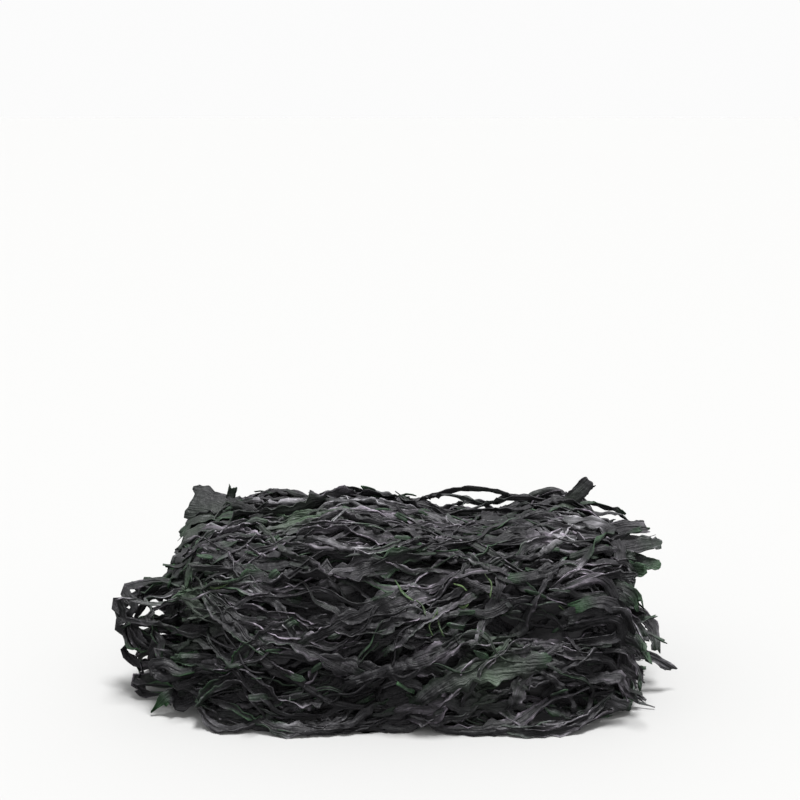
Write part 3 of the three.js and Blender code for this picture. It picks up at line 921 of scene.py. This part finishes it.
# The green slivers
# Hair-thin torn bits of blade that dried without turning black, caught on the front of the heap.
# Each is given by its width and three stops, as the strips that stand out are.
GREEN_SLIVERS = (
    (((19, 43), (17, 48), (16, 54)), 1.1),
    (((14, 44), (13, 48), (16, 53)), 0.9),
    (((25, 57), (28, 56), (31, 58)), 1.1),
    (((38, 70), (40, 66), (39, 61)), 1.2),
    (((-1, 66), (1, 63), (4, 60)), 1.2),
    (((8, 58), (10, 56), (11, 53)), 2.4),
    (((24, 66), (27, 65), (29, 63)), 1.4),
    (((72, 59), (75, 57), (78, 58)), 1.4),
    (((-86, 70), (-81, 68), (-76, 70)), 1.3),
)
SLIVER_KIND = dict(
    THREAD_KIND,
    arch=(0, 0.5),
    crinkle=(0, 0.1),
    ruffle=(0, 0.1),
    fray=(0, 0.1),
    uneven=(0.4, 0.8),
    fresh=(0.5, 1),
)
SLIVER_ROWS = 16
SLIVER_LIFT = 0.6  # above the highest strip under it
draws = np.random.default_rng(79)
sheets = []
for stops, width in GREEN_SLIVERS:
    form = form_of_width(draws, SLIVER_KIND, width)
    x, girth = smooth_route(stops, SLIVER_ROWS).T
    lying = grown[map_cells(x, girth)].max() + SLIVER_LIFT
    centre, out = lifted_route(x, girth, np.full(len(x), lying))
    sheets.append(shaped_sheet(centre, out, form, columns=4, draws=draws))
closed_strips("green_slivers", sheets)


# The strips that stand up from the top
# A broad blunt frond and a small rolled one at the left, a ragged one at the right, and wiry arches between
# them, rooted among the top's strips. Each is given by stops in space, its width, its lean and its end's
# share of that width.
STANDING_STRIPS = (
    (((-56, 8, 64), (-74, 15, 71), (-89, 20, 78), (-103, 24, 80)), 18, 0.8, 1.0),
    (((-88, 27, 66), (-85, 25, 77), (-82, 25, 87)), 5, 0.9, 1.0),
    (((72, 18, 62), (80, 20, 76), (86, 20, 84), (93, 21, 91)), 8, 0.2, 0.9),
    (((-6, 28, 74), (14, 30, 80), (32, 31, 84), (52, 29, 82), (74, 24, 72)), 4, 0.3, 0.8),
    (((-10, 22, 76), (8, 25, 80), (24, 27, 82), (42, 26, 77), (56, 24, 68)), 2.5, 0.4, 0.8),
    (((20, 18, 70), (36, 21, 77), (56, 22, 82), (76, 20, 80), (92, 16, 70)), 3, 0.6, 0.8),
    (((2, 14, 70), (20, 16, 75), (38, 15, 78), (60, 16, 77), (84, 12, 68)), 3, 0.5, 0.8),
    (((16, 24, 72), (28, 26, 78), (46, 28, 78), (58, 30, 81), (80, 28, 72)), 2.5, 0.5, 0.8),
    (((-50, 20, 74), (-38, 24, 83), (-22, 26, 85), (-8, 24, 76)), 5, 0.5, 0.6),
    (((58, 30, 70), (66, 32, 80), (78, 33, 82), (92, 32, 70)), 5, 0.5, 0.6),
)
STANDING_KIND = dict(
    STRIP_KIND,
    tone=(0, 0.25),
    green=(0, 0.5),
    pale=(0.6, 0.8),
    curl=(-0.7, 0.9),
    fold_length=(12, 20),
    fold_height=(0.1, 0.5),
    crinkle=(0.1, 0.4),
    roll=(0, 0.3),
    shingle=(0, 0),
    pinch=(0, 0.15),
    uneven=(0.05, 0.2),
    fray=(0, 0.4),
    torn=(0.5, 2),
)
STANDING_MESH = (48, 12)  # rows along a strip and columns across it


def carried_out(centre, first_out):
    """The way out of a strip's face along its route, carried on from its start without twisting."""
    outs = [first_out]
    for ahead in unit(np.gradient(centre, axis=0)):
        outs.append(unit(outs[-1] - ahead * np.dot(outs[-1], ahead)))
    return np.array(outs[1:])


def free_sheet(stops, form, rows_columns, draws):
    """The sheet of a strip that is only rooted in the heap, through stops in space."""
    rows, columns = rows_columns
    centre = smooth_route(stops, rows)
    return shaped_sheet(centre, carried_out(centre, ellipsoid_out(centre[0])), form, columns, draws)


draws = np.random.default_rng(83)
sheets = []
for stops, width, lean, end_width in STANDING_STRIPS:
    form = form_of_width(draws, STANDING_KIND, width, lean=lean, end_width=end_width)
    sheets.append(free_sheet(stops, form, STANDING_MESH, draws))
closed_strips("standing_strips", sheets)


# The cut ends at the right
# The strips end here, in blunt, ragged and forked tips that fan out of the heap, droop and curl. First come
# the longest, then those spread evenly over the end, strips draped over its rim, and more in its middle.
RIGHT_END_STRIPS = (
    (((80, 4, 62), (104, 2, 73), (118, 2, 74)), 9, -0.9, 0.9),
    (((80, 10, 58), (108, 0, 68), (126, -2, 66)), 10, -0.8, 0.8),
    (((80, 14, 56), (104, 11, 67), (118, 13, 70)), 9, -0.7, 1.0),
    (((80, -6, 60), (104, -8, 67), (120, -6, 69)), 8, -0.9, 0.9),
    (((80, 0, 56), (102, -4, 61), (122, -9, 59)), 9, -0.8, 0.9),
    (((78, -18, 54), (100, -20, 58), (113, -22, 61)), 9, -0.8, 0.9),
    (((78, -18, 46), (104, -18, 40), (118, -12, 32), (122, -14, 18)), 8, -0.6, 0.8),
    (((80, -26, 24), (106, -25, 21), (118, -22, 18), (128, -20, 11)), 6, -0.6, 0.8),
    (((70, -40, 10), (92, -48, 9), (104, -46, 4)), 8, 0.0, 0.8),
)
LONG_TIP_ROLL = 0.2
TIP_KIND = dict(
    STANDING_KIND,
    tone=(0.4, 1),
    green=(0, 1),
    pale=(0, 0.8),
    width=(4, 11),
    fold_length=(5, 10),
    fold_height=(0.5, 1.6),
    crinkle=(0.3, 0.8),
    roll=(0.1, 0.9),
    lean=(-1, 1),
    pinch=(0, 0.3),
    uneven=(0.1, 0.4),
    end_width=(0.6, 1.0),
    torn=(1.5, 5),
)
TIP_MESH = (30, 7)  # rows and columns
RIGHT, LEFT = 1, -1
RIGHT_TIPS = 72
RIGHT_TIP_LENGTH = (9, 26)  # from its neck, where it leaves the heap
INNER_TIPS = 20  # more of them in the middle of the end, longer than the others
INNER_TIP_LENGTH = (17, 30)
INNER_SHARE = 3  # the whole end's area, to theirs
TIP_ROOT = 38.0  # how far inside the heap's end a tip has its root
TIP_NECK = 16.0  # and its neck
TIP_FAN = 1.1  # how much farther apart the necks are than the roots
TIP_ANGLES = (0.04, 0.92)  # the first tip's angle round the end and the room for the others, in half turns
TIP_SPREAD = 0.97  # how near the heap's skin the outermost have their roots
TIP_STEPS = 3
TIP_TURN = 0.45  # how much it may turn at each step
TIP_SAG = (0.0, 0.75)  # and how much it is drawn down
TIP_LOWEST = 3.0
GOLDEN = 0.618  # of the room round the end, from one tip to the next
DRAPE_KIND = dict(TIP_KIND, width=(6, 14), crinkle=(0.5, 1.2), lean=(-0.6, 0.6), pale=(0, 0.3))
DRAPE_PATH = (  # past the heap's end, share of the drift, share of the way from its axis to its skin
    (-36, 0, 0.98),
    (-18, 0, 1.0),
    (-11, 0.4, 0.8),
    (-9, 0.8, 0.55),
    (-7, 1.0, 0.3),
)
RIGHT_DRAPES = 26
RIGHT_FIRST_ANGLE = 0.25
LAST_ANGLE = 0.92 * np.pi
DRAPE_DRIFT = 1.0
DRAPE_UNEVENNESS = 4.0


def end_place(x, angle, from_axis):
    """A point of the heap's section at x, part of the way from its axis to its skin."""
    return skin_at(x, angle, narrowing_at(x)) * [1, from_axis, from_axis]


def off_floor(stops):
    stops = np.array(stops)
    stops[:, 2] = np.maximum(stops[:, 2], TIP_LOWEST)
    return stops


def tip_stops(draws, side, number, count, lengths):
    """The stops of one of the tips that are spread over the heap's end."""
    reach = reach_at(np.array(side))
    first_angle, angle_room = TIP_ANGLES
    angle = np.pi * (first_angle + angle_room * (GOLDEN * number % 1))
    from_axis = TIP_SPREAD * np.sqrt((number + 0.5) / count)
    root = end_place(side * (reach - TIP_ROOT), angle, from_axis)
    neck = end_place(side * (reach - TIP_NECK), angle, from_axis * TIP_FAN)
    way = unit(neck - root)
    step = draws.uniform(*lengths) / TIP_STEPS
    sag = draws.uniform(*TIP_SAG)
    stops = [root, neck]
    for _ in range(TIP_STEPS):
        way = unit(way + draws.uniform(-1, 1, 3) * TIP_TURN - [0, 0, sag])
        stops.append(stops[-1] + way * step)
    return off_floor(stops)


def drape_stops(draws, side, number, count, first_angle):
    """The stops of a strip that runs along the heap's skin, over the rim of its end and down its face."""
    reach = reach_at(np.array(side))
    angle = first_angle + (LAST_ANGLE - first_angle) * (number + 0.5) / count
    drift = draws.uniform(-DRAPE_DRIFT, DRAPE_DRIFT)
    stops = []
    for past, drifted, from_axis in DRAPE_PATH:
        place = end_place(side * (reach + min(past, -TIP_NECK)), angle + drift * drifted, from_axis)
        place[0] = side * (reach + past)
        stops.append(place + draws.uniform(-1, 1, 3) * DRAPE_UNEVENNESS)
    return off_floor(stops)


def tip_sheets(draws, side, count, lengths, area=1):
    """Tips spread over the heap's end, or over its middle where the whole end has more area than theirs."""
    sheets = []
    for number, form in enumerate(drawn_forms(draws, count, TIP_KIND)):
        stops = tip_stops(draws, side, number, area * count, lengths)
        sheets.append(free_sheet(stops, form, TIP_MESH, draws))
    return sheets


def drape_sheets(draws, side, count, first_angle):
    """Strips draped side by side over the rim of the heap's end, from an angle at its front to its back."""
    sheets = []
    for number, form in enumerate(drawn_forms(draws, count, DRAPE_KIND)):
        stops = drape_stops(draws, side, number, count, first_angle)
        sheets.append(free_sheet(stops, form, TIP_MESH, draws))
    return sheets


draws = np.random.default_rng(97)
sheets = []
for stops, width, lean, end_width in RIGHT_END_STRIPS:
    form = form_of_width(draws, TIP_KIND, width, lean=lean, end_width=end_width, roll=LONG_TIP_ROLL)
    sheets.append(free_sheet(stops, form, TIP_MESH, draws))
sheets += tip_sheets(draws, RIGHT, RIGHT_TIPS, RIGHT_TIP_LENGTH)
sheets += drape_sheets(draws, RIGHT, RIGHT_DRAPES, RIGHT_FIRST_ANGLE)
sheets += tip_sheets(draws, RIGHT, INNER_TIPS, INNER_TIP_LENGTH, INNER_SHARE)
closed_strips("right_end_tips", sheets)


# The loops and tips at the left
# Many strips turn back on themselves here, so the end is a loose mesh of loops that light shows through.
# Single tips lie among the loops, and other strips hang over the rim of the end and over its shoulder.
LEFT_END_LOOPS = (
    (((-80, -16, 48), (-112, -12, 50), (-131, -12, 43),
      (-130, -18, 32), (-104, -26, 28), (-78, -28, 26)), 6),
    (((-78, 4, 58), (-106, 0, 58), (-120, -4, 48), (-112, -10, 38), (-84, -10, 34)), 7),
    (((-78, -20, 36), (-116, -18, 30), (-127, -18, 20),
      (-120, -26, 9), (-96, -34, 10), (-74, -34, 14)), 5),
    (((-82, -24, 40), (-114, -22, 37), (-127, -20, 27), (-116, -24, 19), (-86, -30, 22)), 5),
    (((-80, -28, 20), (-108, -27, 23), (-125, -23, 31),
      (-121, -18, 43), (-100, -12, 52), (-80, -8, 54)), 5),
    (((-80, -10, 62), (-106, -9, 57), (-123, -11, 50),
      (-130, -15, 38), (-120, -20, 26), (-90, -24, 18)), 6),
    (((-72, -38, 16), (-98, -46, 9), (-110, -46, 4)), 9),
)
LOOP_KIND = dict(
    TIP_KIND,
    width=(5, 11.5),
    roll=(0.2, 1.5),
    roll_length=(30, 80),
    pinch=(0.2, 0.6),
    pinch_length=(20, 50),
    uneven=(0.2, 0.6),
    tone=(0.2, 1),
    green=(0.6, 1.4),
    pale=(0, 1),
)
LOOP_MESH = (46, 7)  # rows and columns
LOOP_KINK = 3.6  # how far out of line a loop is bent, about every 10 mm
LOOP_SHOULDER = 10.0  # how far inside the heap's end it starts to turn
LOOP_SWAY = 20.0  # how far to either side it may come back in
LOOP_DROP = (4, 26)  # and how far lower down
LOOP_BENDS = (0.25, 0.75)  # shares of that way at the two bends
LOOP_TUCK = (0, 6)  # how far the lower bend is drawn in
LOOP_SPREAD = 0.95  # how near the heap's skin the outermost have their roots
MORE_LOOPS = (  # number, angles round the end, reach past it: of the loops at the front, then at the back
    (17, (0.25, 1.2), (0, 19)),
    (24, (1.2, 2.9), (-4, 9)),
)
LEFT_TIPS = 30
LEFT_TIP_LENGTH = (5, 17)
LEFT_DRAPES = 20
LEFT_FIRST_ANGLE = 0.9
LEFT_SHOULDER_STRIPS = (
    (((-64, -18, 62), (-86, -19, 64), (-102, -20, 60), (-108, -21, 51)), 9),
    (((-62, -8, 66), (-84, -9, 69), (-101, -10, 66), (-107, -10, 57)), 10),
    (((-58, 2, 70), (-82, 1, 73), (-99, 0, 71), (-106, -2, 63)), 11),
    (((-56, 10, 72), (-80, 11, 75), (-98, 12, 74), (-106, 12, 68)), 11),
    (((-58, 18, 72), (-82, 20, 75), (-98, 22, 73), (-105, 22, 65)), 11),
    (((-60, 28, 70), (-84, 30, 72), (-99, 32, 69), (-105, 33, 61)), 10),
    (((-64, 38, 65), (-86, 40, 66), (-100, 42, 62), (-105, 42, 53)), 9),
)


def kinked(draws, stops):
    """The stops and one more between each two, all but the first and the last moved out of line."""
    stops = np.array(stops, float)
    finer = np.empty((2 * len(stops) - 1, 3))
    finer[::2] = stops
    finer[1::2] = (stops[1:] + stops[:-1]) / 2
    finer[1:-1] += draws.uniform(-1, 1, (len(finer) - 2, 3)) * LOOP_KINK
    return off_floor(finer)


def loop_stops(draws, angles, from_axis, loop_reach):
    """The stops of one loop: out of the heap's left end, round, and back in lower down."""
    angle = draws.uniform(*angles)
    turning = -LEFT_REACH - draws.uniform(*loop_reach)
    root = end_place(TIP_ROOT - LEFT_REACH, angle, from_axis)
    shoulder = end_place(LOOP_SHOULDER - LEFT_REACH, angle, from_axis)
    drop = np.array([0, draws.uniform(-LOOP_SWAY, LOOP_SWAY), -draws.uniform(*LOOP_DROP)])
    upper, lower = LOOP_BENDS
    bend_over = shoulder * [0, 1, 1] + [turning, 0, 0] + upper * drop
    bend_under = shoulder * [0, 1, 1] + [turning + draws.uniform(*LOOP_TUCK), 0, 0] + lower * drop
    return kinked(draws, [root, shoulder, bend_over, bend_under, shoulder + drop, root + drop])


draws = np.random.default_rng(106)
sheets = []
for stops, width in LEFT_END_LOOPS:
    stops = kinked(draws, stops)
    sheets.append(free_sheet(stops, form_of_width(draws, LOOP_KIND, width), LOOP_MESH, draws))
for count, angles, loop_reach in MORE_LOOPS:
    for number, form in enumerate(drawn_forms(draws, count, LOOP_KIND)):
        stops = loop_stops(draws, angles, LOOP_SPREAD * np.sqrt((number + 1) / count), loop_reach)
        sheets.append(free_sheet(stops, form, LOOP_MESH, draws))
closed_strips("left_end_loops", sheets)
sheets = tip_sheets(draws, LEFT, LEFT_TIPS, LEFT_TIP_LENGTH)
sheets += drape_sheets(draws, LEFT, LEFT_DRAPES, LEFT_FIRST_ANGLE)
for stops, width in LEFT_SHOULDER_STRIPS:
    sheets.append(free_sheet(stops, form_of_width(draws, DRAPE_KIND, width), TIP_MESH, draws))
closed_strips("left_end_tips", sheets)


# The strips at the foot
# Narrow strips that slid down the heap and lie loosely round its base, with their ends tucked in under it.
# They lie in turn along its front and its back, and then across its right and its left end.
SIDE_FOOT = {"count": 30, "half_run": 100, "length": (36, 80), "end_height": (4, 14), "height": (2, 4)}
END_FOOT = {"count": 16, "half_run": 46, "length": (40, 75), "end_height": (5, 20), "height": (3, 14)}
FOOT_BENDS = np.array([0, 0.3, 0.7, 1])  # shares of its length where a strip has its stops
FOOT_ROOM = (-3, 3)  # how far out of the heap's edge its middle may lie
FOOT_TUCK = 9.0  # and how far inside it its ends lie
FOOT_LEAN = 0.5  # to that of the strips on the heap
END_FOOT_INSET = 10.0
FOOT_MESH = (36, 8)  # rows and columns


def foot_stops(draws, foot):
    """How far along the heap's edge, outside it and above the floor the stops of one strip are."""
    length = draws.uniform(*foot["length"])
    start = draws.uniform(-foot["half_run"], foot["half_run"] - length)
    outside = np.pad(draws.uniform(*FOOT_ROOM, 2), 1, constant_values=-FOOT_TUCK)
    heights = (foot["end_height"], foot["height"], foot["height"], foot["end_height"])
    return start + FOOT_BENDS * length, outside, [draws.uniform(*height) for height in heights]


draws = np.random.default_rng(109)
sheets = []
for number, form in enumerate(drawn_forms(draws, SIDE_FOOT["count"], STRIP_KIND)):
    edge = (-FRONT_DEPTH, BACK_DEPTH)[number % 2]
    along, outside, height = foot_stops(draws, SIDE_FOOT)
    form["lean"] = FOOT_LEAN * form["lean"]
    stops = np.stack([along, edge + outside * np.sign(edge), height], axis=-1)
    sheets.append(free_sheet(stops, form, FOOT_MESH, draws))
for number, form in enumerate(drawn_forms(draws, END_FOOT["count"], STRIP_KIND)):
    side = (RIGHT, LEFT)[number % 2]
    edge = side * (reach_at(np.array(side)) - END_FOOT_INSET)
    along, outside, height = foot_stops(draws, END_FOOT)
    stops = np.stack([edge + outside * side, along, height], axis=-1)
    sheets.append(free_sheet(stops, form, FOOT_MESH, draws))
closed_strips("foot_strips", sheets)


# The small shreds
# Torn bits of blade, 5 to 13 mm long, that stick to the strips all over the heap.
# They stand out of them as points and flakes, pointing one way or the other along the heap.
SHREDS = 240
SHRED_KIND = dict(
    TIP_KIND,
    width=(2.5, 6),
    length=(5, 13),
    curl=(-0.9, 1.2),
    fold_height=(0, 0.4),
    crinkle=(0, 0.2),
    ruffle=(0, 0.3),
    fray=(0, 0.5),
    torn=(0.2, 1.5),
    end_width=(0.1, 0.9),
    tone=(0.2, 1.0),
)
SHRED_INSET = 12.0  # from the heap's ends
SHRED_TURN = 0.7
SHRED_RISE = (0.1, 0.9)
MIDDLE_ALONG = 0.5  # share of a shred's length at its middle stop
MIDDLE_UP = 0.35
END_ALONG = 0.9
END_UP = (0.2, 0.9)
SHRED_MESH = (7, 4)  # rows and columns
draws = np.random.default_rng(113)
sheets = []
for form in drawn_forms(draws, SHREDS, SHRED_KIND):
    x = draws.uniform(SHRED_INSET - LEFT_REACH, RIGHT_REACH - SHRED_INSET, 1)
    girth = draws.uniform(FLOOR_GIRTH, WHOLE_GIRTH - FLOOR_GIRTH, 1)
    lying, out = lifted_route(x, girth, grown[map_cells(x, girth)])
    heading = np.array([draws.choice([-1, 1]), *draws.uniform(-SHRED_TURN, SHRED_TURN, 2)])
    flat_way = unit(heading - out[0] * np.dot(out[0], heading))
    rise = draws.uniform(*SHRED_RISE)
    start = lying[0] - out[0]
    middle = start + form["length"] * (MIDDLE_ALONG * flat_way + MIDDLE_UP * rise * out[0])
    end = start + form["length"] * (END_ALONG * flat_way + draws.uniform(*END_UP) * rise * out[0])
    sheets.append(free_sheet((start, middle, end), form, SHRED_MESH, draws))
closed_strips("shreds", sheets)


# The floor and the light
# A plain pale floor, a soft lamp overhead, a little to the right and in front, and a sky, pale low down.
# The floor shows only to the camera, so that no light comes back from it into the gaps under the strips.
FLOOR_RADIUS = 60.0  # metres
FLOOR_COLOUR = (0.615, 0.615, 0.61, 1.0)
FLOOR_ROUGHNESS = 0.9
FLOOR_SHEEN = 0.1
SUN_FROM = Vector((0.1, -0.08, 1.0))
SUN_STRENGTH = 3.3
SUN_SPREAD = 18.0  # degrees across
SKY_COLOUR = (1, 1, 1, 1)
SKY_STRENGTH = 0.55
HORIZON_STRENGTH = 0.97
HORIZON_RISE = (0.1, 0.2)  # heights on a unit ball between which the pale horizon fades into the sky
HORIZON_FOOT = (-0.05, -0.015)  # and between which it comes up out of the dark under the floor
UNDER_STRENGTH = 0.12

floor_finish, tree, shader = new_finish("studio_floor")
shader.inputs["Base Color"].default_value = FLOOR_COLOUR
shader.inputs["Roughness"].default_value = FLOOR_ROUGHNESS
shader.inputs["Specular IOR Level"].default_value = FLOOR_SHEEN
floor_shape = bmesh.new()
bmesh.ops.create_circle(floor_shape, cap_ends=True, radius=FLOOR_RADIUS, segments=96)
floor_mesh = bpy.data.meshes.new("studio_floor")
floor_shape.to_mesh(floor_mesh)
floor_shape.free()
floor_mesh.materials.append(floor_finish)
floor = bpy.data.objects.new("studio_floor", floor_mesh)
floor.visible_diffuse = False
floor.visible_glossy = False
bpy.context.scene.collection.objects.link(floor)

sun = bpy.data.lights.new("soft_sun", "SUN")
sun.energy = SUN_STRENGTH
sun.angle = np.radians(SUN_SPREAD)
sun_lamp = bpy.data.objects.new("soft_sun", sun)
sun_lamp.rotation_euler = SUN_FROM.to_track_quat("Z", "Y").to_euler()
bpy.context.scene.collection.objects.link(sun_lamp)

world = bpy.data.worlds.new("studio_sky")
world.use_nodes = True
sky = world.node_tree
direction = add_node(sky, "ShaderNodeTexCoord").outputs["Generated"]
rise = add_node(sky, "ShaderNodeSeparateXYZ", {"Vector": direction}).outputs["Z"]


def fading(heights, low_strength, high_strength):
    """A strength that changes smoothly between two heights, and stays even below and above them."""
    inputs = {"Value": rise, "From Min": heights[0], "From Max": heights[1]}
    inputs.update({"To Min": low_strength, "To Max": high_strength})
    return add_node(sky, "ShaderNodeMapRange", inputs, interpolation_type="SMOOTHSTEP").outputs["Result"]


above = fading(HORIZON_RISE, HORIZON_STRENGTH, SKY_STRENGTH)
strength = fading(HORIZON_FOOT, UNDER_STRENGTH, above)
sky.links.new(strength, sky.nodes["Background"].inputs["Strength"])
sky.nodes["Background"].inputs["Color"].default_value = SKY_COLOUR
bpy.context.scene.world = world
bpy.context.scene.view_settings.view_transform = "Standard"


# The camera
# It stands in front of the middle of the heap, at eye height over a table, and looks a little down on it.
# Its lens is slightly longer than a normal one.
CAMERA_PLACE = np.array([0.0, -575.0, 267.0])
CAMERA_PITCH = 12.8  # degrees below the horizon
CAMERA_LENS = 57.15
SENSOR_WIDTH = 36.0

camera_lens = bpy.data.cameras.new("camera")
camera_lens.lens = CAMERA_LENS
camera_lens.sensor_width = SENSOR_WIDTH
camera = bpy.data.objects.new("camera", camera_lens)
camera.location = (CAMERA_PLACE - OUTLINE_MIDDLE) * METRES
camera.rotation_euler = (np.radians(90 - CAMERA_PITCH), 0, 0)
bpy.context.scene.collection.objects.link(camera)
bpy.context.scene.camera = camera
